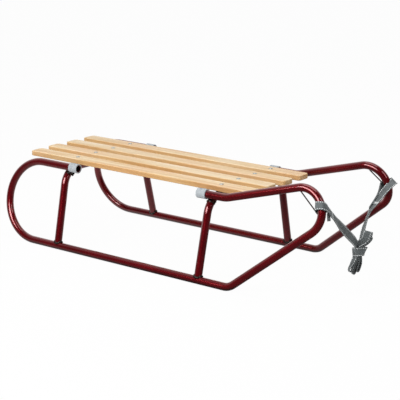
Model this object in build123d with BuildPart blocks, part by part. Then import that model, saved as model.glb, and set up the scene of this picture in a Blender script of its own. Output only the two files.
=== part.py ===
from build123d import *
from math import cos, pi, radians, sin, tan
import os

# A metal sled that is pulled over snow by a webbing strap. Two bent steel
# tubes stand on the ground as runners and lean towards each other. Two bent
# arches join them and carry four wooden slats. Millimetres, +X towards the
# front, +Z up. The origin is on the ground under the middle of the frame.

# Driving dimensions of the frame
TUBE_D = 19.0          # outer diameter of every frame tube
TUBE_WALL = 1.5
TRACK = 390.0          # between the runners' axes, on the ground
LEAN = radians(12.0)   # each side tube leans inward by this
REAR_BEND_R = 102.0    # half circle at the rear, on the tube's axis
RUNNER = 625.0         # from the rear bend's centre to the corner of the ramp
RAMP = radians(39.5)   # the ramp rises forward from the runner
RAIL_CORNER = 583.0    # from the rear bend's centre to the rail's lower end
RAIL = radians(16.0)   # the rail rises forward from the seat's height
HEEL_R = 40.0          # bend between the runner and the ramp
CREST_R = 55.0         # bend at the front, from the ramp over to the rail
RAIL_R = 70.0          # bend between the rail and its level end
REAR_STUB = 122.0      # the tube's two level ends, from the rear bend's centre
FRONT_STUB = 504.0
BORE_DEPTH = 60.0      # how far the open tube ends are hollow

# Arches, feet measured from the rear bend's centre
ARCHES = {
    # name: (foot, rake of the arch to the rear)
    "rear_arch": (86.0, radians(2.0)),
    "front_arch": (535.0, 0.0),
}
ARCH_BAR_Z = 202.5     # axis of the level bar above the ground
ARCH_LEAN = radians(13.0)
ARCH_BEND_R = 50.0
WELD_GAP = 0.1         # between a leg's coped foot and the runner

# Seat
SLAT = (710.0, 42.0, 13.0)
SLAT_PITCH = 69.5
SLAT_END_R = 8.0
SLAT_ARRIS_R = 2.0
SLAT_REAR = -75.5      # the slats' rear ends, from the rear bend's centre
SLAT_SHIFTS = {
    # name: (place across, counted from the right, how far it sits forward)
    "slat_1": (0, 4.0),
    "slat_2": (1, -2.0),
    "slat_3": (2, 0.0),
    "slat_4": (3, 0.0),
}

# Plastic collars on the open tube ends
COLLAR_D = 24.0
COLLAR_LENGTH = 26.0
COLLAR_LIP = 1.0       # how far a collar reaches past the tube's end
COLLAR_FIT = 0.05

# Wire guides across the crest's inside, ends as angles on the crest bend
GUIDE_D = 3.0
GUIDES = {
    # name: (side, angle of the upper end, angle of the lower end)
    "rope_guide_right": (-1, radians(106.0), radians(-6.5)),
    "rope_guide_left": (1, radians(96.5), radians(1.0)),
}

# Pull strap: webbing sewn into a loop round each crest, its spare length
# folded into a hank that hangs between them
STRAP_W = 20.0
STRAP_T = 2.0
STRAP_D = 7.1          # round section as large as the webbing's flat one
LOOP_GAP = 1.2         # between the crest tube and the loop round it
LOOPS = {
    # name: (side, angle on the crest bend, forward, inward and up to the seam, slack)
    "strap_loop_right": (-1, radians(23.0), (5.0, 17.5, -2.0), 0.0),
    "strap_loop_left": (1, radians(18.0), (5.0, 78.0, -42.0), 6.0),
}
LEGS = {
    # name: (side, the route's points: forward of the rear bend's centre, across, up)
    "strap_leg_right": (-1, [
        (844.3, -127.5, 224.0),
        (845.0, -122.3, 217.0),
        (846.0, -114.5, 209.0),
        (847.0, -97.0, 194.0),
        (847.5, -77.0, 176.0),
        (848.3, -55.0, 156.5),
        (849.0, -33.0, 137.0),
        (849.5, -14.0, 121.0),
        (850.0, -3.0, 104.0),
    ]),
    "strap_leg_left": (1, [
        (845.0, 73.5, 186.6),
        (845.8, 64.0, 181.0),
        (846.3, 53.0, 172.0),
        (847.0, 41.5, 160.5),
        (848.0, 30.0, 145.5),
        (849.0, 20.5, 129.0),
        (850.0, 12.0, 113.5),
        (850.0, 7.0, 101.0),
    ]),
}
HANK_X = 850.0         # from the rear bend's centre
HANK_Y = 4.0
HANK_TURN = radians(37.0)
HANK_DEPTH = 14.0
HANK_LOWER = [
    # height, sideways shift, width
    (44.0, -9.0, 34.0),
    (80.0, 0.0, 25.0),
    (108.0, 0.0, 25.0),
]
HANK_FAN = (21.0, 25.0, 21.0)   # forward, across and up to the folds' upper ends
HANK_FAN_WIDTH = 22.0

# Worked out from the dimensions above
TUBE_R = TUBE_D / 2
RISE = 2 * REAR_BEND_R          # between the runner and the stubs, in the tube's plane
RAIL_TO_TIP = (
    (RUNNER - RAIL_CORNER) * sin(RAMP) + RISE * cos(RAMP)
) / sin(RAMP - RAIL)
TIP = (RAIL_CORNER + RAIL_TO_TIP * cos(RAIL), RISE + RAIL_TO_TIP * sin(RAIL))
TIP_TO_CREST = CREST_R / sin((RAMP - RAIL) / 2)
CREST = (
    TIP[0] - TIP_TO_CREST * cos((RAMP + RAIL) / 2),
    TIP[1] - TIP_TO_CREST * sin((RAMP + RAIL) / 2),
)
LENGTH = REAR_BEND_R + CREST[0] + CREST_R + TUBE_D
REAR_X = REAR_BEND_R + TUBE_R - LENGTH / 2
SEAT_Z = ARCH_BAR_Z + TUBE_R


def save(builder, name):
    """Labels a finished piece and writes it."""
    builder.part.label = name
    export_step(builder.part, f"parts/{name}.step")
    return builder.part


def side_plane(side):
    """The leaning plane of a side tube's axis: X forward, Y up the lean."""
    return Plane(
        origin=(REAR_X, side * TRACK / 2, TUBE_R),
        x_dir=(1, 0, 0),
        z_dir=(0, -cos(LEAN), -side * sin(LEAN)),
    )


def crest_point(side, angle):
    """A point of the tube's axis on the crest bend, and the tube's direction there."""
    plane = side_plane(side)
    at = plane.from_local_coords(
        Vector(CREST[0] + CREST_R * cos(angle), CREST[1] + CREST_R * sin(angle), 0)
    )
    direction = plane.x_dir * -sin(angle) + plane.y_dir * cos(angle)
    return at, direction


def stub_plane(side, x, forward):
    """A plane across a side tube's level end."""
    plane = side_plane(side)
    origin = plane.from_local_coords(Vector(x, RISE, 0))
    return Plane(origin=origin, x_dir=plane.y_dir, z_dir=(forward, 0, 0))


os.makedirs("parts", exist_ok=True)

# Side tubes: one length of tube each, from the rear stub round the rear bend,
# along the ground, up the ramp, over the crest and down the rail
side_tubes = {}
for name, side in (("side_tube_right", -1), ("side_tube_left", 1)):
    with BuildPart() as side_tube:
        with BuildLine(side_plane(side)) as axis:
            Line((REAR_STUB, RISE), (0, RISE))
            ThreePointArc((0, RISE), (-REAR_BEND_R, REAR_BEND_R), (0, 0))
            FilletPolyline(
                (0, 0),
                (RUNNER, 0),
                TIP,
                (RAIL_CORNER, RISE),
                (FRONT_STUB, RISE),
                radius=[HEEL_R, CREST_R, RAIL_R],
            )
        with BuildSketch(stub_plane(side, REAR_STUB, -1)):
            Circle(TUBE_R)
        sweep(path=axis.wires()[0])
        for end, forward in ((REAR_STUB, -1), (FRONT_STUB, 1)):
            with BuildSketch(stub_plane(side, end, forward)):
                Circle(TUBE_R - TUBE_WALL)
            extrude(amount=BORE_DEPTH, mode=Mode.SUBTRACT)
    side_tubes[side] = save(side_tube, name)

# Arches: two legs and a level bar in one bent tube, the feet coped to the
# runners, the bar under the slats
for name, (foot, rake) in ARCHES.items():
    rise = (ARCH_BAR_Z - TUBE_R) / cos(rake)
    shoulder = TRACK / 2 - rise * tan(ARCH_LEAN)
    with BuildPart() as arch:
        arch_plane = Plane(
            origin=(REAR_X + foot, 0, TUBE_R),
            x_dir=(0, 1, 0),
            z_dir=(cos(rake), 0, sin(rake)),
        )
        with BuildLine(arch_plane) as axis:
            FilletPolyline(
                (-TRACK / 2, 0),
                (-shoulder, rise),
                (shoulder, rise),
                (TRACK / 2, 0),
                radius=ARCH_BEND_R,
            )
        with BuildSketch(Plane(origin=axis.line @ 0, z_dir=axis.line % 0)):
            Circle(TUBE_R)
        sweep(path=axis.wires()[0])
        for side in (-1, 1):
            with BuildSketch(Plane.YZ.offset(REAR_X + foot)):
                with Locations((side * TRACK / 2, TUBE_R)):
                    Circle(TUBE_R + WELD_GAP)
            extrude(amount=2 * TUBE_D, both=True, mode=Mode.SUBTRACT)
    save(arch, name)

# Slats: planed boards with rounded ends and arrises, laid across both arches
for name, (place, forward) in SLAT_SHIFTS.items():
    length, width, thickness = SLAT
    middle = REAR_X + SLAT_REAR + forward + length / 2
    with BuildPart() as slat:
        with BuildSketch(Plane.XY.offset(SEAT_Z)):
            with Locations((middle, (place - 1.5) * SLAT_PITCH)):
                RectangleRounded(length, width, SLAT_END_R)
        extrude(amount=thickness)
        flat_faces = slat.faces().filter_by(Axis.Z)
        fillet(flat_faces.edges(), SLAT_ARRIS_R)
    save(slat, name)

# Collars: open plastic sleeves pushed over the tube ends
collar_mouths = {
    "collar_rear_right": (-1, REAR_STUB, 1),
    "collar_rear_left": (1, REAR_STUB, 1),
    "collar_front_right": (-1, FRONT_STUB, -1),
    "collar_front_left": (1, FRONT_STUB, -1),
}
for name, (side, tube_end, outward) in collar_mouths.items():
    with BuildPart() as collar:
        mouth = tube_end + outward * COLLAR_LIP
        with BuildSketch(stub_plane(side, mouth, -outward)):
            Circle(COLLAR_D / 2)
            Circle(TUBE_R + COLLAR_FIT, mode=Mode.SUBTRACT)
        extrude(amount=COLLAR_LENGTH)
        rims = collar.edges().filter_by(GeomType.CIRCLE).group_by(SortBy.RADIUS)[-1]
        fillet(rims, 0.8)
    save(collar, name)

# Rope guides: a wire welded across the inside of each crest
guides = {}
for name, (side, upper, lower) in GUIDES.items():
    start, _ = crest_point(side, upper)
    end, _ = crest_point(side, lower)
    with BuildPart() as guide:
        with BuildSketch(Plane(origin=start, z_dir=end - start)):
            Circle(GUIDE_D / 2)
        extrude(amount=(end - start).length)
        add(side_tubes[side], mode=Mode.SUBTRACT)
    guides[side] = save(guide, name)

# Strap loops: webbing round the crest tube, notched by the wire guide, its two
# plies sewn together where the free strap starts
loops = {}
for name, (side, angle, (forward, inward, up), slack) in LOOPS.items():
    centre, along = crest_point(side, angle)
    to_seam = Vector(forward, -side * inward, up)
    across = along - to_seam * (along.dot(to_seam) / to_seam.dot(to_seam))
    with BuildPart() as loop:
        with BuildSketch(Plane(origin=centre, x_dir=to_seam, z_dir=across)):
            with BuildSketch(mode=Mode.PRIVATE) as hole:
                with Locations((-slack, 0)):
                    Circle(TUBE_R + LOOP_GAP)
                with Locations((to_seam.length - 2 * STRAP_T, 0)):
                    Circle(STRAP_T / 4)
                make_hull()
            offset(hole.sketch, amount=STRAP_T)
            add(hole.sketch, mode=Mode.SUBTRACT)
        extrude(amount=STRAP_W / 2, both=True)
        add(guides[side], mode=Mode.SUBTRACT)
        add(side_tubes[side], mode=Mode.SUBTRACT)
    loops[side] = save(loop, name)


def corner_radii(points):
    """The radius at each corner of a route, as large as its shorter run allows."""
    radii = []
    for before, corner, after in zip(points, points[1:], points[2:]):
        arriving = corner - before
        leaving = after - corner
        turn = radians(arriving.get_angle(leaving))
        shorter = min(arriving.length, leaving.length)
        radii.append(0.45 * shorter / tan(turn / 2))
    return radii


# Strap hank: the folded spare length, narrow where one turn of the strap ties
# it, with the lower folds splayed and the upper folds standing out to one side
sideways = Vector(cos(HANK_TURN), sin(HANK_TURN), 0)
hank_axis = Vector(REAR_X + HANK_X, HANK_Y, 0)
with BuildPart() as strap_hank:
    for low, high in zip(HANK_LOWER, HANK_LOWER[1:]):
        for height, shift, width in (low, high):
            origin = hank_axis + sideways * shift + Vector(0, 0, height)
            with BuildSketch(Plane(origin=origin, x_dir=sideways, z_dir=(0, 0, 1))):
                Rectangle(width, HANK_DEPTH)
        loft()
    fan_start = hank_axis + Vector(0, 0, HANK_LOWER[-1][0] - HANK_DEPTH / 2)
    fan_way = Vector(*HANK_FAN)
    fan_side = sideways.cross(fan_way).cross(fan_way) * -1
    with BuildSketch(Plane(origin=fan_start, x_dir=fan_side, z_dir=fan_way)):
        Rectangle(HANK_FAN_WIDTH, HANK_DEPTH)
    extrude(amount=fan_way.length)
hank = save(strap_hank, "strap_hank")

# Strap legs: from each loop's seam down to the hank, cut where they meet them
for name, (side, route) in LEGS.items():
    points = [Vector(REAR_X + x, y, z) for x, y, z in route]
    radii = corner_radii(points)
    with BuildPart() as leg:
        with BuildLine() as axis:
            FilletPolyline(*points, radius=radii)
        with BuildSketch(Plane(origin=axis.line @ 0, z_dir=axis.line % 0)):
            Circle(STRAP_D / 2)
        sweep(path=axis.wires()[0])
        section = pi * STRAP_D ** 2 / 4
        length = axis.wires()[0].length
        print(name, "length", round(length, 1), "radii", [round(radius) for radius in radii])
        print(name, "volume over section times length", round(leg.part.volume / section / length, 4))
        add(loops[side], mode=Mode.SUBTRACT)
        add(hank, mode=Mode.SUBTRACT)
    save(leg, name)
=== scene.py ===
# %% [markdown]
# # A metal sled
# The real object is a snow sled: two bent steel tubes that lean towards each
# other, two arches that join them, four wooden slats, plastic collars on the
# open tube ends and a pull strap of grey webbing. The CAD model brings the
# solid shapes in their real places. This file gives them their finishes and
# adds what is too fine for CAD: the strap, bolts, welds and stitches.

# %% The frame from the CAD model
from math import cos, pi, radians, sin
import bmesh
import bpy
from mathutils import Matrix, Vector


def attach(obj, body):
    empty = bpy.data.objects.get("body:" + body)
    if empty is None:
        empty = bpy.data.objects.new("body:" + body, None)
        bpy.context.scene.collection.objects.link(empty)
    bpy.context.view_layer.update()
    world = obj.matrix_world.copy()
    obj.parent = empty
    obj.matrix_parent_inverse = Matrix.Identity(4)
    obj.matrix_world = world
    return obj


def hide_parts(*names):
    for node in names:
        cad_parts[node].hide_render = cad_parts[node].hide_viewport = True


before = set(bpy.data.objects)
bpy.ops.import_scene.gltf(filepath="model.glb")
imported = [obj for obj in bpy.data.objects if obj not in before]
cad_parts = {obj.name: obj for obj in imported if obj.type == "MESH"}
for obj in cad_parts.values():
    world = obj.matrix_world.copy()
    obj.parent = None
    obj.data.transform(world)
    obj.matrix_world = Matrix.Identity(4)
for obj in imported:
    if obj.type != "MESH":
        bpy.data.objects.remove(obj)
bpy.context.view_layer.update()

MM = 0.001
print("CAD nodes:", len(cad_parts))

# %% [markdown]
# ## Camera
# The sled stands in a product picture, seen from its right front corner and a
# little from above, through a long lens. A camera could be turned with angles
# that an artist tries by eye. Here its three axes are written from the
# direction to the sled, because that keeps the horizon's small roll apart.

# %% Camera
VIEW_AZIMUTH = radians(36.83)   # 0 looks along +Y
VIEW_HEIGHT = radians(14.72)
VIEW_ROLL = radians(0.61)
VIEW_TARGET = Vector((-0.04875, 0.09612, 0.110))
VIEW_DISTANCE = 3.3088
LENS = 113.95                   # mm, on a sensor 36 mm wide

to_camera = Vector((
    sin(VIEW_AZIMUTH) * cos(VIEW_HEIGHT),
    -cos(VIEW_AZIMUTH) * cos(VIEW_HEIGHT),
    sin(VIEW_HEIGHT),
))
level = Vector((cos(VIEW_AZIMUTH), sin(VIEW_AZIMUTH), 0))
upright = to_camera.cross(level)
camera_right = level * cos(VIEW_ROLL) + upright * sin(VIEW_ROLL)
camera_up = upright * cos(VIEW_ROLL) - level * sin(VIEW_ROLL)
camera_axes = Matrix((camera_right, camera_up, to_camera)).transposed().to_4x4()

lens = bpy.data.cameras.new("camera")
lens.lens = LENS
lens.sensor_width = 36
camera = bpy.data.objects.new("camera", lens)
camera.matrix_world = Matrix.Translation(VIEW_TARGET + to_camera * VIEW_DISTANCE) @ camera_axes
bpy.context.scene.collection.objects.link(camera)
bpy.context.scene.camera = camera
print("camera stands", round(VIEW_DISTANCE, 2), "m away")

# %% [markdown]
# ## Where the strap runs
# One length of 20 mm webbing is sewn into a loop round each tube crest. Its
# spare length is folded into a hank that hangs between them, tied by one turn
# of the same webbing. A flat strap needs two things at each place: where its
# middle is, and which way its width points. So each row below holds both. The
# loops are written from the tube's own axis, the hank from its tie, and the
# legs in the frame of the sled, all in millimetres.

# %% The places that the strap's rows are written from
FORWARD, LEFTWARD, UP = Vector((1, 0, 0)), Vector((0, 1, 0)), Vector((0, 0, 1))
REAR_BEND_X = -370.427          # the rear bends' centre, from the sled's middle
LEAN = radians(12)              # of the side tubes, towards each other
HALF_TRACK = 195.0              # from the sled's middle to a runner's axis
TUBE_R = 9.5
CREST_FORWARD = 787.85          # the crest bends' centre, from the rear bends'
CREST_SLANT = 205.52            # and from the runner, up along the leaning side
CREST_R = 55.0
NEAR_ANGLE, FAR_ANGLE = radians(23), radians(18)   # where on the crest bends the loops sit
TIE_FORWARD, TIE_ACROSS, TIE_UP = 851.3, 5.0, 95.6


def crest_place(side, angle):
    """Origin on the tube's axis on the crest bend, and axes outward, inward, along the tube."""
    slant = Vector((0, -side * sin(LEAN), cos(LEAN)))
    outward = FORWARD * cos(angle) + slant * sin(angle)
    along = slant * cos(angle) - FORWARD * sin(angle)
    inward = Vector((0, -side * cos(LEAN), -sin(LEAN)))
    foot = Vector((REAR_BEND_X, side * HALF_TRACK, TUBE_R))
    origin = foot + FORWARD * CREST_FORWARD + slant * CREST_SLANT + outward * CREST_R
    return origin, outward, inward, along


near_crest = crest_place(-1, NEAR_ANGLE)
far_crest = crest_place(1, FAR_ANGLE)
sled = (Vector((REAR_BEND_X, 0, 0)), FORWARD, LEFTWARD, UP)
facing = Vector((sin(VIEW_AZIMUTH), -cos(VIEW_AZIMUTH), 0))
tie_place = (Vector((REAR_BEND_X + TIE_FORWARD, TIE_ACROSS, TIE_UP)), level, UP, facing)


def placed(rows, place):
    """Rows of (place, width direction) from one of the places above, in metres of the sled."""
    origin, first, second, third = place
    found = []
    for point, flat in rows:
        spot = origin + first * point[0] + second * point[1] + third * point[2]
        width = first * flat[0] + second * flat[1] + third * flat[2]
        found.append((spot * MM, width.normalized()))
    return found


print("near crest", [round(v, 1) for v in near_crest[0]], "far crest", [round(v, 1) for v in far_crest[0]])

# %% The strap's rows
# outward, inward and along the tube, from the near crest
NEAR_LOOP = [
    ((-1.5, 22.5, -34.0), (-0.2, 0.97, -0.05)),
    ((0.8, 22.0, -22.0), (-0.22, 0.95, -0.15)),
    ((1.5, 20.0, -11.0), (-0.3, 0.7, -0.65)),
    ((-9.0, 16.0, -9.0), (-0.15, 0.3, -0.95)),
    ((-13.8, 7.0, -6.0), (-0.2, 0.0, -1.0)),
    ((-13.2, -2.0, 0.5), (-0.25, 0.0, -1.0)),
    ((-9.5, -10.6, 3.0), (-0.2, -0.2, -0.95)),
    ((1.5, -12.8, 1.5), (0.0, -0.3, -0.95)),
    ((9.8, -8.6, -1.0), (0.0, -0.3, -0.95)),
    ((11.5, 3.0, -6.0), (0.1, -0.4, -0.92)),
    ((9.5, 13.5, -12.5), (0.3, -0.5, -0.8)),
]
# forward of the rear bends' centre, across and up
RIGHT_LEG = [
    ((847.0, -122.0, 211.5), (0.46, -0.63, -0.60)),
    ((846.5, -112.5, 204.5), (0.48, -0.63, -0.60)),
    ((847.0, -96.5, 189.5), (0.45, -0.66, -0.60)),
    ((847.5, -77.0, 172.5), (0.10, -0.69, -0.70)),
    ((848.3, -55.0, 154.5), (-0.08, -0.71, -0.69)),
    ((849.0, -33.0, 137.0), (-0.08, -0.71, -0.69)),
    ((849.5, -14.0, 122.5), (0.05, -0.78, -0.62)),
    ((850.0, -1.0, 108.0), (0.16, -0.96, -0.20)),
]
# across, up and towards the viewer, from the middle of the tie
PACKED = (0.375, 0.1, 0.92)
HANK = [
    ((-7.4, -12.0, 2.0), PACKED),
    ((-13.5, -27.0, 6.0), (0.35, 0.2, 0.95)),
    ((-24.5, -46.5, 9.0), (0.05, 0.25, 0.97)),
    ((-16.5, -51.0, 9.0), (0.0, 0.25, 0.97)),
    ((-12.0, -33.0, 7.0), (0.1, 0.2, 0.97)),
    ((-5.4, -14.0, 1.2), PACKED),
    ((-5.4, 9.0, 1.2), PACKED),
    ((1.0, 20.0, 5.0), (0.5, -0.2, 0.8)),
    ((13.0, 28.0, 8.0), (0.8, -0.25, 0.55)),
    ((17.5, 47.0, 7.5), (0.92, -0.15, 0.35)),
    ((22.0, 47.0, -0.5), (0.92, -0.15, 0.35)),
    ((19.5, 29.0, -1.5), (0.8, -0.3, 0.5)),
    ((6.0, 16.0, -0.5), (0.5, -0.3, 0.8)),
    ((-3.5, 9.0, 0.4), PACKED),
    ((-3.5, -12.0, 0.4), PACKED),
    ((-8.5, -35.0, 1.5), (0.15, 0.2, 0.97)),
    ((-13.6, -56.5, 1.0), (0.1, 0.25, 0.97)),
    ((-7.8, -57.5, 0.5), (0.1, 0.25, 0.97)),
    ((-2.0, -35.0, -3.0), (0.2, 0.2, 0.97)),
    ((-1.5, -12.0, -0.4), PACKED),
    ((-1.5, 8.5, -0.4), PACKED),
    ((9.0, 16.0, -7.5), (0.4, -0.3, 0.85)),
    ((20.0, 27.0, -8.0), (0.5, -0.4, 0.75)),
    ((25.5, 36.0, -8.5), (0.5, -0.4, 0.75)),
    ((27.0, 28.5, -14.0), (0.5, -0.4, 0.75)),
    ((15.5, 15.0, -12.0), (0.5, -0.3, 0.8)),
    ((0.5, 8.0, -1.2), PACKED),
    ((0.5, -12.0, -1.2), PACKED),
    ((0.6, -33.0, -10.0), (0.15, 0.2, 0.97)),
    ((-3.2, -54.3, -12.0), (0.1, 0.25, 0.97)),
    ((2.4, -55.3, -12.5), (0.1, 0.25, 0.97)),
    ((7.0, -36.0, -13.0), (0.15, 0.2, 0.97)),
    ((5.0, -22.0, -8.0), (0.2, 0.2, 0.97)),
    ((2.4, -10.0, -2.0), PACKED),
]
# forward of the rear bends' centre, across and up
LEFT_LEG = [
    ((850.0, 7.0, 101.0), (0.75, -0.60, 0.10)),
    ((850.0, 12.0, 113.5), (0.75, -0.60, 0.25)),
    ((849.0, 20.5, 129.0), (0.78, -0.50, 0.38)),
    ((848.0, 30.0, 145.5), (0.78, -0.48, 0.42)),
    ((847.0, 41.5, 160.5), (0.68, -0.55, 0.48)),
    ((846.3, 53.0, 172.0), (0.67, -0.47, 0.57)),
    ((845.6, 66.0, 182.0), (0.85, -0.21, 0.49)),
]
# outward, inward and along the tube, from the far crest
FAR_LOOP = [
    ((-4.0, 74.5, -24.0), (1.0, 0.05, -0.1)),
    ((-1.0, 51.5, -17.0), (0.97, 0.1, -0.22)),
    ((4.2, 27.5, -9.2), (0.92, 0.15, -0.37)),
    ((12.0, 8.5, -2.2), (0.85, 0.19, -0.49)),
    ((17.0, -4.5, 1.0), (0.75, -0.05, -0.66)),
    ((12.0, -13.5, -0.5), (-0.1, -0.4, -0.9)),
    ((0.0, -13.3, -2.5), (0.0, -0.3, -1.0)),
    ((-11.5, -9.5, -2.0), (0.0, -0.2, -1.0)),
    ((-16.0, 1.0, -2.5), (0.0, -0.2, -1.0)),
    ((-10.5, 18.0, -8.0), (0.0, -0.2, -1.0)),
    ((-7.0, 39.0, -16.0), (-0.15, -0.25, -0.95)),
    ((-9.0, 61.5, -22.5), (-0.4, -0.28, -0.88)),
    ((-13.0, 86.0, -30.5), (-0.5, -0.28, -0.83)),
]
# towards the hank's broad side, its narrow side and up, from the middle of the tie
TIE = [
    ((2.0, -8.2, -2.5), (-0.24, 0.0, 0.97)),
    ((-9.5, -8.2, -5.4), (-0.24, 0.0, 0.97)),
    ((-12.0, -6.2, -6.0), (-0.24, 0.0, 0.97)),
    ((-12.0, 6.2, -6.0), (-0.24, 0.0, 0.97)),
    ((-10.0, 8.2, -5.5), (-0.24, 0.0, 0.97)),
    ((10.0, 8.2, -0.5), (-0.24, 0.0, 0.97)),
    ((12.0, 6.2, 0.0), (-0.24, 0.0, 0.97)),
    ((12.3, -5.5, 0.0), (-0.24, 0.0, 0.97)),
    ((11.5, -10.0, -0.2), (-0.1, -0.15, 0.98)),
    ((10.5, -14.0, -0.5), (0.0, -0.45, 0.88)),
    ((6.5, -17.0, -0.8), (0.0, -0.50, 0.86)),
    ((2.0, -16.0, -1.5), (0.0, -0.50, 0.86)),
    ((0.0, -12.0, -2.5), (-0.1, -0.3, 0.95)),
    ((-4.0, -11.0, -4.0), (-0.24, 0.0, 0.97)),
    ((-11.0, -10.3, -5.7), (-0.24, 0.0, 0.97)),
]
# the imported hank's broad side is turned this far from the picture's plane
BROAD_LEVEL, BROAD_FACING = 0.375, 0.927
BUNDLE_SHIFT = 2.5              # from the tie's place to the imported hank's middle
broad = level * BROAD_LEVEL + facing * BROAD_FACING
narrow = facing * BROAD_LEVEL - level * BROAD_FACING
bundle_place = (tie_place[0] - level * BUNDLE_SHIFT, broad, narrow, UP)

strap_rows = placed(NEAR_LOOP, near_crest) + placed(RIGHT_LEG, sled) + placed(HANK, tie_place)
strap_rows += placed(LEFT_LEG, sled) + placed(FAR_LOOP, far_crest)
tie_rows = placed(TIE, bundle_place)
print("strap rows:", len(strap_rows), "tie rows:", len(tie_rows))

# %% [markdown]
# ## Webbing as a mesh
# Real webbing is a flat woven band with a thicker edge on both sides. A curve
# with a flat bevel would twist where it likes. Here the same NURBS line is
# drawn twice, once through the middles and once a little to the side, and the
# band's section is extruded along the first with its width turned to the
# second. Each point also remembers where it sits on the cloth, across and
# along, so that the weave can follow the strap round every bend.

# %% A line's points, read from its NURBS curve
WEB_WIDTH = 20 * MM
WEB_STEPS = 12                  # points between two rows


def line_points(name, places):
    """The points of a smooth NURBS line that these places steer."""
    data = bpy.data.curves.new(name, "CURVE")
    data.dimensions = "3D"
    data.resolution_u = WEB_STEPS
    spline = data.splines.new("NURBS")
    spline.points.add(len(places) - 1)
    for point, place in zip(spline.points, places):
        point.co = (*place, 1)
    spline.order_u = 3
    spline.use_endpoint_u = True
    carrier = bpy.data.objects.new(name, data)
    bpy.context.scene.collection.objects.link(carrier)
    mesh = bpy.data.meshes.new_from_object(carrier)
    points = [vertex.co.copy() for vertex in mesh.vertices]
    bpy.data.objects.remove(carrier)
    bpy.data.curves.remove(data)
    bpy.data.meshes.remove(mesh)
    return points


def web_frames(name, rows):
    """Middle, width direction and face direction at each point along a strap, and its length so far."""
    middles = line_points(name + "_middle", [place for place, flat in rows])
    sides = line_points(name + "_side", [place + flat * WEB_WIDTH / 2 for place, flat in rows])
    frames = []
    so_far = 0.0
    for i, middle in enumerate(middles):
        before, after = middles[max(i - 1, 0)], middles[min(i + 1, len(middles) - 1)]
        heading = (after - before).normalized()
        width = sides[i] - middle
        width = (width - heading * width.dot(heading)).normalized()
        so_far += (middle - middles[i - 1]).length if i else 0.0
        frames.append((middle, width, heading.cross(width), so_far))
    return frames


print("webbing", round(WEB_WIDTH / MM), "mm wide,", WEB_STEPS, "points between two rows")

# %% The band's section, extruded along the line
# across the width and through the thickness, mm: flat middle, groove, thicker edge
HALF_SECTION = [
    (10.0, 0.0), (9.9, 0.55), (9.4, 0.88), (8.4, 0.95), (7.4, 0.88), (6.9, 0.72),
    (3.5, 0.80), (0.0, 0.82), (-3.5, 0.80), (-6.9, 0.72), (-7.4, 0.88),
    (-8.4, 0.95), (-9.4, 0.88), (-9.9, 0.55), (-10.0, 0.0),
]
WEB_SECTION = HALF_SECTION + [(x, -y) for x, y in reversed(HALF_SECTION[1:-1])]


def in_order(parts, key):
    """Gives a mesh's vertices, edges or faces a fixed order."""
    for i, part in enumerate(sorted(parts, key=key)):
        part.index = i
    parts.sort()


def finished(name, bm, material, smooth=True):
    """An object at the origin from a bmesh, with its normals pointing out."""
    bmesh.ops.recalc_face_normals(bm, faces=bm.faces)
    # some operators return their parts in another order at each run, so it is fixed here
    in_order(bm.verts, lambda vertex: tuple(vertex.co))
    in_order(bm.edges, lambda edge: sorted(vertex.index for vertex in edge.verts))
    in_order(bm.faces, lambda face: sorted(vertex.index for vertex in face.verts))
    mesh = bpy.data.meshes.new(name)
    bm.to_mesh(mesh)
    bm.free()
    mesh.materials.append(material)
    mesh.polygons.foreach_set("use_smooth", [smooth] * len(mesh.polygons))
    piece = bpy.data.objects.new(name, mesh)
    bpy.context.scene.collection.objects.link(piece)
    return piece


def webbing(name, frames, material):
    """A flat woven strap along its frames."""
    bm = bmesh.new()
    cloth = bm.verts.layers.float_vector.new("cloth")
    ring = [bm.verts.new((x * MM, y * MM, 0)) for x, y in WEB_SECTION]
    for vertex, (x, y) in zip(ring, WEB_SECTION):
        vertex[cloth] = (x * MM, y * MM, 0)
    edges = [bm.edges.new((a, b)) for a, b in zip(ring, ring[1:] + ring[:1])]
    bmesh.ops.contextual_create(bm, geom=edges)
    for i, (middle, width, face, so_far) in enumerate(frames):
        if i:
            grown = bmesh.ops.extrude_edge_only(bm, edges=edges)["geom"]
            ring = [item for item in grown if isinstance(item, bmesh.types.BMVert)]
            edges = [item for item in grown if isinstance(item, bmesh.types.BMEdge)]
            held = set(ring)
            edges = [edge for edge in edges if edge.verts[0] in held and edge.verts[1] in held]
        for vertex in ring:
            across, through = vertex[cloth][0], vertex[cloth][1]
            vertex.co = middle + width * across + face * through
            vertex[cloth] = (across, through, so_far)
    bmesh.ops.contextual_create(bm, geom=edges)
    return finished(name, bm, material)


strap_frames = web_frames("strap", strap_rows)
tie_frames = web_frames("tie", tie_rows)
print("strap", round(strap_frames[-1][3], 3), "m long, tie", round(tie_frames[-1][3], 3), "m")

# %% [markdown]
# ## Materials
# Every finish starts from a real one. Colours are written as they look on a
# screen and turned to the linear values that Blender mixes with. Patterns are
# measured in millimetres on the object itself, so one size fits every piece.

# %% Helpers for every material
RAMP, MATH = "ShaderNodeValToRGB", "ShaderNodeMath"
MULTIPLIED = {"data_type": "RGBA", "blend_type": "MULTIPLY"}   # how a Mix node lays a tint over a colour


def linear(hex_colour):
    """An sRGB hex colour as linear RGBA."""
    channels = []
    for i in (0, 2, 4):
        value = int(hex_colour[i:i + 2], 16) / 255
        channels.append(value / 12.92 if value <= 0.04045 else ((value + 0.055) / 1.055) ** 2.4)
    return (*channels, 1.0)


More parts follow.
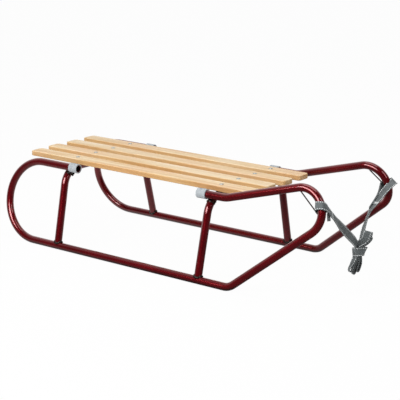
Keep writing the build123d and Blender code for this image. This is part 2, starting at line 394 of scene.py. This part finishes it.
def add_node(material, kind, settings=(), **links):
    """Adds a node. Settings are its own values, a ramp's stops among them. Links are its inputs:
    a value, another node's socket, or a node, which stands for its first output."""
    node = material.node_tree.nodes.new(kind)
    for name, value in dict(settings).items():
        if name == "stops":
            while len(node.color_ramp.elements) < len(value):
                node.color_ramp.elements.new(0.5)
            for element, (place, colour) in zip(node.color_ramp.elements, value):
                element.position = place
                element.color = linear(colour)
        else:
            setattr(node, name, value)
    for name, value in links.items():
        key = int(name[1:]) if name[0] == "_" else name.replace("_", " ")
        if isinstance(value, bpy.types.Node):
            value = value.outputs[0]
        if isinstance(value, bpy.types.NodeSocket):
            material.node_tree.links.new(value, node.inputs[key])
        else:
            node.inputs[key].default_value = value
    return node


def new_material(name):
    """An empty material and its Principled shader."""
    material = bpy.data.materials.new(name)
    material.use_nodes = True
    return material, material.node_tree.nodes["Principled BSDF"]


def per_mm(size):
    """The texture scale at which a pattern repeats about every so many millimetres."""
    return 1 / (size * MM)


print("mid grey 808080 is", round(linear("808080")[0], 3), "in linear light")

# %% [markdown]
# ### Candy red enamel
# The tubes wear a dark red stoved enamel under clear lacquer: deep red where
# it faces the viewer, grey-brown at the edges, with pink-white lights at the
# bends. In the tubes' mouths and in the corners of the joints the red is
# darkened by painted shade, the more the more enclosed a point is. A plain gloss
# paint would show one even white film. Here the paint's
# own gloss is red and wide, and a coat of clear lacquer over it gives the
# sharp pale lights. The lacquer has the orange peel of sprayed paint, drawn
# coarser than the real 1 mm, so that the lights break up as in the picture.

# %% Candy enamel
enamel, shader = new_material("candy_enamel")
spot = add_node(enamel, "ShaderNodeTexCoord").outputs["Object"]
cloud = add_node(enamel, "ShaderNodeTexNoise", Vector=spot, Scale=per_mm(60), Detail=2.0)
tint = add_node(enamel, RAMP, {"stops": ((0.3, "5a030a"), (0.7, "6c0610"))}, Fac=cloud.outputs["Fac"])
shelter = add_node(enamel, "ShaderNodeAmbientOcclusion", Distance=30 * MM)
# painted shade: the base colour darkens where little of the surroundings is open, in mouths, joints and
# under the slats
painted_shade = add_node(
    enamel, RAMP, {"stops": ((0.25, "0c0202"), (0.7, "ffffff"))},
    Fac=shelter.outputs["AO"],
)
shaded = add_node(enamel, "ShaderNodeMix", MULTIPLIED, _0=1.0, _6=tint, _7=painted_shade)
enamel.node_tree.links.new(shaded.outputs[2], shader.inputs["Base Color"])
peel = add_node(enamel, "ShaderNodeTexNoise", Vector=spot, Scale=per_mm(8), Detail=1.0)
peel_bump = add_node(enamel, "ShaderNodeBump", Height=peel.outputs["Fac"], Strength=0.14, Distance=0.0002)
enamel.node_tree.links.new(peel_bump.outputs["Normal"], shader.inputs["Coat Normal"])
shader.inputs["Metallic"].default_value = 0.5
shader.inputs["Roughness"].default_value = 0.27
shader.inputs["Specular IOR Level"].default_value = 0.6
shader.inputs["Specular Tint"].default_value = linear("d8303c")
shader.inputs["Coat Weight"].default_value = 1.0
shader.inputs["Coat Roughness"].default_value = 0.12
shader.inputs["Coat IOR"].default_value = 1.55
print("material", enamel.name)

# %% [markdown]
# ### Lacquered beech
# The slats are planed beech under clear matt lacquer: pale straw, with long
# soft grain bands, and short darker flecks that run along the board. The
# coordinates are stretched along the board, so round noise becomes grain. The
# faces that don't look up get a darker, warmer tint: painted shade, for the
# sides that get less of the light from above.

# %% Lacquered beech
beech, shader = new_material("lacquered_beech")
spot = add_node(beech, "ShaderNodeTexCoord").outputs["Object"]
drawn = add_node(beech, "ShaderNodeMapping", Vector=spot, Scale=(0.035, 1.0, 0.6)).outputs["Vector"]
bands = add_node(beech, "ShaderNodeTexNoise", Vector=drawn, Scale=per_mm(9), Detail=3.0, Distortion=0.4)
band_tint = add_node(
    beech, RAMP, {"stops": ((0.3, "dcba8a"), (0.5, "edd3aa"), (0.7, "f8e7cb"))},
    Fac=bands.outputs["Fac"],
)
board_way = add_node(beech, "ShaderNodeMapping", Vector=spot, Scale=(0.3, 1.0, 0.0)).outputs["Vector"]
boards = add_node(beech, "ShaderNodeTexNoise", Vector=board_way, Scale=per_mm(70), Detail=1.0)
board_tint = add_node(
    beech, RAMP, {"stops": ((0.35, "f4d2ac"), (0.5, "f4e4bc"), (0.65, "ffffff"))},
    Fac=boards.outputs["Fac"],
)
varied = add_node(beech, "ShaderNodeMix", MULTIPLIED, _0=0.45, _6=band_tint, _7=board_tint)
fleck_way = add_node(beech, "ShaderNodeMapping", Vector=spot, Scale=(0.12, 1.0, 1.0)).outputs["Vector"]
flecks = add_node(beech, "ShaderNodeTexNoise", Vector=fleck_way, Scale=per_mm(1.1), Detail=2.0)
fleck_tint = add_node(
    beech, RAMP, {"stops": ((0.3, "d8b684"), (0.48, "ffffff"))},
    Fac=flecks.outputs["Fac"],
)
grain = add_node(beech, "ShaderNodeMix", MULTIPLIED, _0=0.35, _6=varied.outputs[2], _7=fleck_tint)
surface = add_node(beech, "ShaderNodeNewGeometry")
facing_up = add_node(beech, "ShaderNodeSeparateXYZ", Vector=surface.outputs["Normal"])
# painted shade: faces that don't look up are darkened and warmed
painted_side_shade = add_node(
    beech, RAMP, {"stops": ((0.35, "dccab2"), (0.8, "ffffff"))},
    Fac=facing_up.outputs["Z"],
)
grain_with_painted_shade = add_node(beech, "ShaderNodeMix", MULTIPLIED, _0=1.0, _6=grain.outputs[2], _7=painted_side_shade)
beech.node_tree.links.new(grain_with_painted_shade.outputs[2], shader.inputs["Base Color"])
grain_bump = add_node(beech, "ShaderNodeBump", Height=flecks.outputs["Fac"], Strength=0.15, Distance=0.0002)
beech.node_tree.links.new(grain_bump.outputs["Normal"], shader.inputs["Normal"])
shader.inputs["Roughness"].default_value = 0.5
shader.inputs["Coat Weight"].default_value = 0.25
shader.inputs["Coat Roughness"].default_value = 0.35
print("material", beech.name)

# %% [markdown]
# ### Moulded plastic, wire, zinc
# The collars are light grey moulded polyethylene with the faint mottle of a
# cheap mould. The rope guides are dark drawn wire. The bolts are zinc plated
# steel, bright but a little cloudy. The weld beads are burnt and dark under
# the enamel, with small bright lights on their ripples. At the arches' tops
# their darkness also stands for the shade under the tubes' ends: painted shade.

# %% Moulded plastic
collar_plastic, shader = new_material("moulded_polyethylene")
spot = add_node(collar_plastic, "ShaderNodeTexCoord").outputs["Object"]
mottle = add_node(collar_plastic, "ShaderNodeTexNoise", Vector=spot, Scale=per_mm(6), Detail=3.0)
mottle_tint = add_node(
    collar_plastic, RAMP, {"stops": ((0.35, "9ca2a6"), (0.65, "adb3b7"))},
    Fac=mottle.outputs["Fac"],
)
collar_plastic.node_tree.links.new(mottle_tint.outputs["Color"], shader.inputs["Base Color"])
skin = add_node(collar_plastic, "ShaderNodeTexNoise", Vector=spot, Scale=per_mm(0.8), Detail=1.0)
skin_bump = add_node(
    collar_plastic, "ShaderNodeBump",
    Height=skin.outputs["Fac"], Strength=0.2, Distance=0.0001,
)
collar_plastic.node_tree.links.new(skin_bump.outputs["Normal"], shader.inputs["Normal"])
shader.inputs["Roughness"].default_value = 0.42
print("material", collar_plastic.name)

# %% Drawn wire and zinc plate


def plated_metal(name, dark, light, roughness, grain_mm):
    """A metal with a cloudy plated surface."""
    metal, shader = new_material(name)
    spot = add_node(metal, "ShaderNodeTexCoord").outputs["Object"]
    clouds = add_node(metal, "ShaderNodeTexNoise", Vector=spot, Scale=per_mm(grain_mm), Detail=3.0)
    tint = add_node(metal, RAMP, {"stops": ((0.3, dark), (0.7, light))}, Fac=clouds.outputs["Fac"])
    metal.node_tree.links.new(tint.outputs["Color"], shader.inputs["Base Color"])
    bump = add_node(metal, "ShaderNodeBump", Height=clouds.outputs["Fac"], Strength=0.2, Distance=0.0001)
    metal.node_tree.links.new(bump.outputs["Normal"], shader.inputs["Normal"])
    shader.inputs["Metallic"].default_value = 1.0
    shader.inputs["Roughness"].default_value = roughness
    return metal


drawn_wire = plated_metal("drawn_wire", "2e2b2a", "3e3938", 0.45, 2.0)
zinc = plated_metal("zinc_plate", "9fa09c", "c2c1bb", 0.3, 1.5)
# dark for burnt weld, and at the arches' tops also painted shade under the tubes' ends
weld_and_painted_shade = plated_metal("burnt_weld_and_painted_shade", "231c1a", "4e4a46", 0.4, 2.5)
print("materials", drawn_wire.name, zinc.name, weld_and_painted_shade.name)

# %% [markdown]
# ### Woven webbing
# The strap is grey polypropylene webbing. Warp yarns run along it in fine
# ribs, crossed by the weft every millimetre or so. A white sewn thread runs
# along both edges in short dashes, and rows of the same thread cross the
# strap where its loops are sewn shut. The pattern reads the cloth coordinates
# that the mesh carries, so it bends with the strap.

# %% Woven webbing
YARN = 1.8                      # mm between ribs, drawn coarser than the real 1 mm to show
DASH = 5.0                      # mm from one stitch to the next
EDGE_SEAM = 8.0                 # mm from the strap's middle to a row of stitches
EDGE_THREAD = 0.85              # mm to each side of that row
NEAR_SEAM, FAR_SEAM = 138.0, 979.0   # mm along the strap, where the loops are sewn
NEAR_THREAD, FAR_THREAD = 2.2, 3.4   # mm to each side of those seams
SEAM_END = 8.5                  # mm from the strap's middle to a seam's end
SEAM_GAPS = -0.7                # the part of the wave under this is the gap between a seam's stitches
webbing_cloth, shader = new_material("woven_polypropylene")
on_cloth = add_node(webbing_cloth, "ShaderNodeAttribute", {"attribute_name": "cloth"}).outputs["Vector"]
axes = add_node(webbing_cloth, "ShaderNodeSeparateXYZ", Vector=on_cloth)
across, along = axes.outputs["X"], axes.outputs["Z"]


def wave(material, coordinate, size):
    """A sine wave that repeats every so many millimetres along a coordinate."""
    turns = add_node(material, MATH, {"operation": "MULTIPLY"}, _0=coordinate, _1=2 * pi * per_mm(size))
    return add_node(material, MATH, {"operation": "SINE"}, _0=turns)


ribs = wave(webbing_cloth, across, YARN)
weft = wave(webbing_cloth, along, YARN)
weave = add_node(webbing_cloth, MATH, {"operation": "MULTIPLY"}, _0=ribs, _1=weft)
from_middle = add_node(webbing_cloth, MATH, {"operation": "ABSOLUTE"}, _0=across)
on_edge_row = add_node(
    webbing_cloth, MATH, {"operation": "COMPARE"},
    _0=from_middle, _1=EDGE_SEAM * MM, _2=EDGE_THREAD * MM,
)
dashes = wave(webbing_cloth, along, DASH)
in_dash = add_node(webbing_cloth, MATH, {"operation": "GREATER_THAN"}, _0=dashes, _1=0.0)
edge_thread = add_node(webbing_cloth, MATH, {"operation": "MULTIPLY"}, _0=on_edge_row, _1=in_dash)
on_near_seam = add_node(
    webbing_cloth, MATH, {"operation": "COMPARE"},
    _0=along, _1=NEAR_SEAM * MM, _2=NEAR_THREAD * MM,
)
on_far_seam = add_node(
    webbing_cloth, MATH, {"operation": "COMPARE"},
    _0=along, _1=FAR_SEAM * MM, _2=FAR_THREAD * MM,
)
on_seam = add_node(webbing_cloth, MATH, {"operation": "MAXIMUM"}, _0=on_near_seam, _1=on_far_seam)
cross_dashes = wave(webbing_cloth, across, DASH)
in_stitch = add_node(webbing_cloth, MATH, {"operation": "GREATER_THAN"}, _0=cross_dashes, _1=SEAM_GAPS)
seam_stitches = add_node(webbing_cloth, MATH, {"operation": "MULTIPLY"}, _0=on_seam, _1=in_stitch)
inside_end = add_node(webbing_cloth, MATH, {"operation": "LESS_THAN"}, _0=from_middle, _1=SEAM_END * MM)
seam_thread = add_node(webbing_cloth, MATH, {"operation": "MULTIPLY"}, _0=seam_stitches, _1=inside_end)
thread = add_node(webbing_cloth, MATH, {"operation": "MAXIMUM"}, _0=edge_thread, _1=seam_thread)
weave_height = add_node(
    webbing_cloth, MATH, {"operation": "MULTIPLY_ADD"},
    _0=weave, _1=0.5, _2=thread,
)
weave_shade = add_node(
    webbing_cloth, MATH, {"operation": "MULTIPLY_ADD"},
    _0=weave, _1=0.25, _2=0.5,
)
spot = add_node(webbing_cloth, "ShaderNodeTexCoord").outputs["Object"]
fade = add_node(webbing_cloth, "ShaderNodeTexNoise", Vector=spot, Scale=per_mm(14), Detail=3.0)
fade_tint = add_node(
    webbing_cloth, RAMP, {"stops": ((0.3, "5c6162"), (0.7, "737a7b"))},
    Fac=fade.outputs["Fac"],
)
# painted shade: the weave's hollows are darker than its raised yarns
weave_painted_shade = add_node(webbing_cloth, RAMP, {"stops": ((0.2, "8e8e8e"), (0.8, "ffffff"))}, Fac=weave_shade)
yarns = add_node(webbing_cloth, "ShaderNodeMix", MULTIPLIED, _0=0.6, _6=fade_tint, _7=weave_painted_shade)
sewn = add_node(
    webbing_cloth, "ShaderNodeMix", {"data_type": "RGBA"},
    _0=thread, _6=yarns.outputs[2], _7=linear("e2e5e5"),
)
webbing_cloth.node_tree.links.new(sewn.outputs[2], shader.inputs["Base Color"])
weave_bump = add_node(webbing_cloth, "ShaderNodeBump", Height=weave_height, Strength=0.6, Distance=0.0003)
webbing_cloth.node_tree.links.new(weave_bump.outputs["Normal"], shader.inputs["Normal"])
shader.inputs["Roughness"].default_value = 0.75
shader.inputs["Sheen Weight"].default_value = 0.15
print("material", webbing_cloth.name)

# %% [markdown]
# ## The strap
# The strap is one band: it starts at its sewn end behind the near crest, and
# its other end lies behind the far one. The tie is a band of its own.

# %% Strap and tie
strap = webbing("strap", strap_frames, webbing_cloth)
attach(strap, "root")
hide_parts("strap_loop_right", "strap_loop_left", "strap_leg_right", "strap_leg_left", "strap_hank")
tie = webbing("strap_tie", tie_frames, webbing_cloth)
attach(tie, "root")
print("strap faces:", len(strap.data.polygons), "tie faces:", len(tie.data.polygons))

# %% [markdown]
# ## Bolts
# Each slat is held down on both arches by a coach bolt with a low round head.
# The head is one profile turned about the bolt's axis.

# %% Bolt heads
SLAT_MIDDLES = (-104.25, -34.75, 34.75, 104.25)
BOLTS_FORWARD = (77.0, 535.0)   # from the rear bends' centre
SEAT_TOP = 225.0
DOME_STEPS = 32
MERGED = 0.01 * MM              # corners nearer than this become one
# from the axis, above the slat
DOME = ((0.0, 1.9), (2.0, 1.8), (3.8, 1.35), (5.0, 0.7), (5.6, 0.0), (5.6, -0.6), (0.0, -0.6))


def bolt_head(name, forward, sideways):
    """A low dome on a slat."""
    bm = bmesh.new()
    points = [bm.verts.new((out * MM, 0, above * MM)) for out, above in DOME]
    for first, second in zip(points, points[1:]):
        bm.edges.new((first, second))
    bmesh.ops.spin(
        bm, geom=bm.verts[:] + bm.edges[:], cent=(0, 0, 0), axis=(0, 0, 1),
        angle=2 * pi, steps=DOME_STEPS, use_merge=True,
    )
    bmesh.ops.remove_doubles(bm, verts=bm.verts, dist=MERGED)
    place = Vector((REAR_BEND_X + forward, sideways, SEAT_TOP)) * MM
    bmesh.ops.translate(bm, verts=bm.verts, vec=place)
    piece = finished(name, bm, zinc)
    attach(piece, "root")
    return piece


bolts = []
for row, forward in enumerate(BOLTS_FORWARD):
    for place, sideways in enumerate(SLAT_MIDDLES):
        bolts.append(bolt_head(f"bolt_head_{4 * row + place + 1}", forward, sideways))
print("bolt heads:", len(bolts))

# %% [markdown]
# ## Weld beads
# A leg's round foot sits on a round runner, so the seam between them is a
# saddle: at each angle round the leg it stands as high as the runner's curve
# falls away. A bead of uneven thickness follows it. Where an arch passes under
# a tube's level end, two more beads run round the arch's outer side; their dark
# colour is partly the weld's and partly painted shade under the tube's end.

# %% Weld beads
ARCH_FEET = (86.0, 535.0)
ARCH_LEAN = radians(13)
# how far out and up the arch's middle is there, and how steeply its outside faces up
JOINTS = ((141.5, 191.0, 53), (145.6, 187.6, 43))
FOOT_BEAD, TOP_BEAD = 2.8, 2.3  # a bead's radius, before its unevenness
FOOT_SINK, TOP_SINK = 0.6, 0.4  # how far a bead's middle lies inside the tube's skin
FOOT_STEPS = 48
FOOT_RISE = 1.5                 # of the saddle over the runner's curve
FOOT_LEAST = 0.55               # the saddle's lowest part, as a share of the tube's radius
TOP_START, TOP_STEP, TOP_STEPS = -118, 7, 33   # degrees round the arch, and how many places


def bead(name, places, thickness, closed):
    """An uneven round bead through these places, in mm."""
    data = bpy.data.curves.new(name, "CURVE")
    data.dimensions = "3D"
    data.bevel_depth = thickness * MM
    data.bevel_resolution = 3
    data.use_fill_caps = True
    spline = data.splines.new("POLY")
    spline.points.add(len(places) - 1)
    spline.use_cyclic_u = closed
    for i, (point, place) in enumerate(zip(spline.points, places)):
        point.co = (*(place * MM), 1)
        point.radius = 1 + 0.18 * sin(1.9 * i) + 0.12 * sin(0.7 * i)
    carrier = bpy.data.objects.new(name, data)
    bpy.context.scene.collection.objects.link(carrier)
    mesh = bpy.data.meshes.new_from_object(carrier)
    bpy.data.objects.remove(carrier)
    bm = bmesh.new()
    bm.from_mesh(mesh)
    bmesh.ops.remove_doubles(bm, verts=bm.verts, dist=MERGED)
    piece = finished(name, bm, weld_and_painted_shade)
    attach(piece, "root")
    return piece


beads = []
for end, forward in zip(("rear", "front"), ARCH_FEET):
    for hand, side in (("right", -1), ("left", 1)):
        foot = Vector((REAR_BEND_X + forward, side * HALF_TRACK, TUBE_R))
        up_leg = Vector((0, -side * sin(ARCH_LEAN), cos(ARCH_LEAN)))
        round_leg = up_leg.cross(FORWARD)
        saddle = []
        for step in range(FOOT_STEPS):
            angle = 2 * pi * step / FOOT_STEPS
            high = TUBE_R * max(abs(cos(angle)), FOOT_LEAST) + FOOT_RISE
            saddle.append(
                foot + up_leg * high + FORWARD * (TUBE_R - FOOT_SINK) * cos(angle)
                + round_leg * (TUBE_R - FOOT_SINK) * sin(angle)
            )
        beads.append(bead(f"weld_{end}_{hand}_foot", saddle, FOOT_BEAD, True))
        # painted shade: these beads' dark colour also stands for the shade under the tube's end
        for part, (across, up, slope) in enumerate(JOINTS):
            under = Vector((REAR_BEND_X + forward, side * across, up))
            outwards = Vector((0, side * cos(radians(slope)), sin(radians(slope))))
            ring = []
            for step in range(TOP_STEPS):
                angle = radians(TOP_START + TOP_STEP * step)
                spoke = outwards * cos(angle) + FORWARD * sin(angle)
                ring.append(under + spoke * (TUBE_R - TOP_SINK))
            beads.append(bead(f"weld_{end}_{hand}_top_{part + 1}", ring, TOP_BEAD, False))
print("weld beads:", len(beads))

# %% [markdown]
# ## Finishes on the CAD pieces
# The tubes, slats, collars and guides already have their real shapes, so each
# only gets its material. Slots in a mesh hold materials, so the first slot is
# cleared and filled.

# %% Finishes on the CAD pieces
CAD_FINISHES = {
    "side_tube": enamel, "rear_arch": enamel, "front_arch": enamel,
    "slat": beech, "collar": collar_plastic, "rope_guide": drawn_wire,
}
for node_name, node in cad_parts.items():
    for start, finish in CAD_FINISHES.items():
        if node_name.startswith(start):
            node.data.materials.clear()
            node.data.materials.append(finish)
print("finished:", sum(len(node.data.materials) == 1 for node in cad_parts.values()))

# %% [markdown]
# ## Floor, backdrop and light
# The picture's ground is plain white. The floor is a pale sheet that the
# camera sees as nearly white, with the sled's soft shadow kept, and the same
# white shows in glossy paint. The sheet and the white backdrop lie under and
# behind the sled. In front of it the studio is dark, so that the enamel stays
# deep red where it faces the viewer. The light is a softbox at the front
# left, a broad lamp overhead and a narrow one at the right, at a level where
# colours look as written.

# %% Floor
FLOOR_HALF = 30.0               # metres from the middle to the sheet's edge
FLOOR_WHITE = 0.97              # share of plain white that the camera sees, the rest is paint and shadow
bm = bmesh.new()
bmesh.ops.create_grid(bm, x_segments=1, y_segments=1, size=FLOOR_HALF)
floor_paint, shader = new_material("pale_floor")
shader.inputs["Base Color"].default_value = linear("dedede")
shader.inputs["Roughness"].default_value = 0.9
shader.inputs["Specular IOR Level"].default_value = 0.1
rays = add_node(floor_paint, "ShaderNodeLightPath")
seen = add_node(
    floor_paint, MATH, {"operation": "MAXIMUM"},
    _0=rays.outputs["Is Camera Ray"], _1=rays.outputs["Is Transmission Ray"],
)
seen_share = add_node(floor_paint, MATH, {"operation": "MULTIPLY"}, _0=seen, _1=FLOOR_WHITE)
share = add_node(
    floor_paint, MATH, {"operation": "MAXIMUM"},
    _0=seen_share, _1=rays.outputs["Is Glossy Ray"],
)
spot = add_node(floor_paint, "ShaderNodeTexCoord").outputs["Object"]
in_front = add_node(floor_paint, "ShaderNodeVectorMath", {"operation": "DOT_PRODUCT"}, _0=spot, _1=facing)
sheet = add_node(floor_paint, "ShaderNodeMapRange", Value=in_front.outputs["Value"])
for key, value in (("From Min", -0.7), ("From Max", 0.2), ("To Min", 1.0), ("To Max", 0.1)):
    sheet.inputs[key].default_value = value
glow = add_node(floor_paint, MATH, {"operation": "MAXIMUM"}, _0=seen, _1=sheet.outputs["Result"])
white = add_node(floor_paint, "ShaderNodeEmission", Color=(1, 1, 1, 1), Strength=glow)
blend = add_node(floor_paint, "ShaderNodeMixShader", _0=share, _1=shader.outputs[0], _2=white.outputs[0])
output = floor_paint.node_tree.nodes["Material Output"]
floor_paint.node_tree.links.new(blend.outputs[0], output.inputs["Surface"])
floor = finished("floor", bm, floor_paint, smooth=False)
print("floor", len(floor.data.polygons), "face")

# %% World and lamps
SOFT_LEVEL = 0.3                # of the world's own light on the sled
world = bpy.data.worlds.new("studio")
bpy.context.scene.world = world
world.use_nodes = True
background = world.node_tree.nodes["Background"]
background.inputs["Color"].default_value = (1, 1, 1, 1)
rays = add_node(world, "ShaderNodeLightPath")
seen = add_node(
    world, MATH, {"operation": "MAXIMUM"},
    _0=rays.outputs["Is Camera Ray"], _1=rays.outputs["Is Transmission Ray"],
)
way = add_node(world, "ShaderNodeTexCoord").outputs["Generated"]
in_front = add_node(world, "ShaderNodeVectorMath", {"operation": "DOT_PRODUCT"}, _0=way, _1=facing)
backdrop = add_node(world, "ShaderNodeMapRange", Value=in_front.outputs["Value"])
for key, value in (("From Min", -0.7), ("From Max", 0.15), ("To Min", 1.0), ("To Max", 0.03)):
    backdrop.inputs[key].default_value = value
glossy = rays.outputs["Is Glossy Ray"]
glossy_light = add_node(world, MATH, {"operation": "MULTIPLY"}, _0=glossy, _1=backdrop.outputs["Result"])
not_glossy = add_node(world, MATH, {"operation": "SUBTRACT"}, _0=1.0, _1=glossy)
soft_light = add_node(world, MATH, {"operation": "MULTIPLY"}, _0=not_glossy, _1=SOFT_LEVEL)
both = add_node(world, MATH, {"operation": "ADD"}, _0=glossy_light, _1=soft_light)
strength = add_node(world, MATH, {"operation": "MAXIMUM"}, _0=seen, _1=both)
world.node_tree.links.new(strength.outputs[0], background.inputs["Strength"])

LAMPS = [
    # name, place, aim, width, height, watts
    ("softbox", (-0.25, -2.3, 1.3), (0.1, 0.0, 0.15), 1.8, 1.0, 56.0),
    ("overhead", (0.0, 0.2, 2.5), (0.0, 0.0, 0.1), 1.8, 1.4, 17.0),
    ("right_strip", (2.1, -0.3, 1.6), (0.1, 0.0, 0.15), 0.5, 1.2, 11.0),
]
for name, place, aim, width, height, watts in LAMPS:
    data = bpy.data.lights.new(name, "AREA")
    data.shape = "RECTANGLE"
    data.size = width
    data.size_y = height
    data.energy = watts
    lamp = bpy.data.objects.new(name, data)
    lamp.location = place
    lamp.rotation_euler = (Vector(aim) - Vector(place)).to_track_quat("-Z", "Y").to_euler()
    bpy.context.scene.collection.objects.link(lamp)
bpy.context.scene.view_settings.view_transform = "Standard"
print("lamps:", len(LAMPS))
